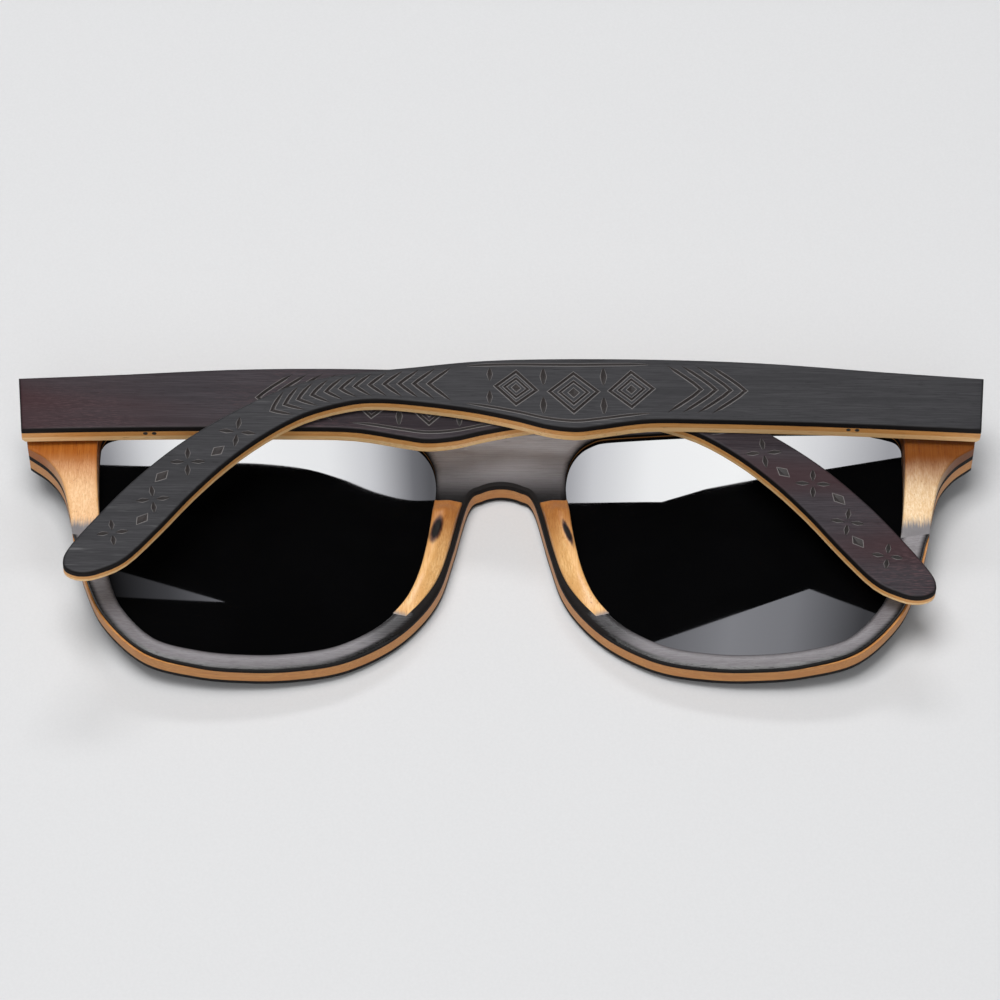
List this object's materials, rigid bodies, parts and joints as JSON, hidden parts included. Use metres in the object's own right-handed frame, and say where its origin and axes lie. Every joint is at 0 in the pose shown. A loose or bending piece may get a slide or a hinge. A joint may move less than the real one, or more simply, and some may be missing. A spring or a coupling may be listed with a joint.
{
  "type": "wooden sunglasses",
  "caption": "Laminated wooden sunglasses with dark lenses and spring-hinged temples, lying folded and face down.",
  "frame": {"origin": "centre of the footprint, at the height of the lowest point of the front face", "axes": "+X to the wearer's right, +Y to the brow, +Z to the back of the glasses, which lie face down with the temples folded"},
  "size_m": [0.1452, 0.0486, 0.0191],
  "materials": {
    "ebony": "satin, fine straight grain",
    "light_wood": "satin, fine straight grain",
    "amber_wood": "satin, fine straight grain",
    "lens": "polished, nearly black",
    "steel": "fine brushed"
  },
  "bodies": {
    "front": {"front_ply": "ebony", "core_ply": "light_wood", "back_ply": "ebony", "left_lens": "lens", "right_lens": "lens", "left_nose_pad": "light_wood", "right_nose_pad": "light_wood", "left_end_block": "light_wood", "right_end_block": "light_wood", "left_hinge_plate": "steel", "right_hinge_plate": "steel", "left_plate_screws": "steel", "right_plate_screws": "steel", "left_pivot_screw": "steel", "right_pivot_screw": "steel"},
    "left_hinge_slider": {"left_slider": "steel", "left_spring_nut": "steel"},
    "left_temple": {"left_outer_ply": "ebony", "left_middle_ply": "amber_wood", "left_inner_ply": "light_wood", "left_spring_box": "steel", "left_box_brads": "steel", "left_spring": "steel"},
    "right_hinge_slider": {"right_slider": "steel", "right_spring_nut": "steel"},
    "right_temple": {"right_outer_ply": "ebony", "right_middle_ply": "amber_wood", "right_inner_ply": "light_wood", "right_spring_box": "steel", "right_box_brads": "steel", "right_spring": "steel"}
  },
  "joints": [
    {"name": "left_fold", "type": "hinge", "parent": "front", "child": "left_hinge_slider", "pos_m": [-0.06983, 0.0166, 0.0139], "axis": [0.1045, -0.9945, 0], "range_deg": [0, 91.35]},
    {"name": "left_flex", "type": "slide", "parent": "left_hinge_slider", "child": "left_temple", "axis": [0.9997, 0, -0.0234], "range_m": [0, 0.0012], "stiffness_N_per_m": 2500, "springref_m": -0.002, "deforming": ["left_spring"]},
    {"name": "right_fold", "type": "hinge", "parent": "front", "child": "right_hinge_slider", "pos_m": [0.06983, 0.0166, 0.0139], "axis": [0.1045, 0.9945, 0], "range_deg": [0, 88.65]},
    {"name": "right_flex", "type": "slide", "parent": "right_hinge_slider", "child": "right_temple", "axis": [-0.9997, 0, 0.0234], "range_m": [0, 0.0012], "stiffness_N_per_m": 2500, "springref_m": -0.002, "deforming": ["right_spring"]}
  ]
}
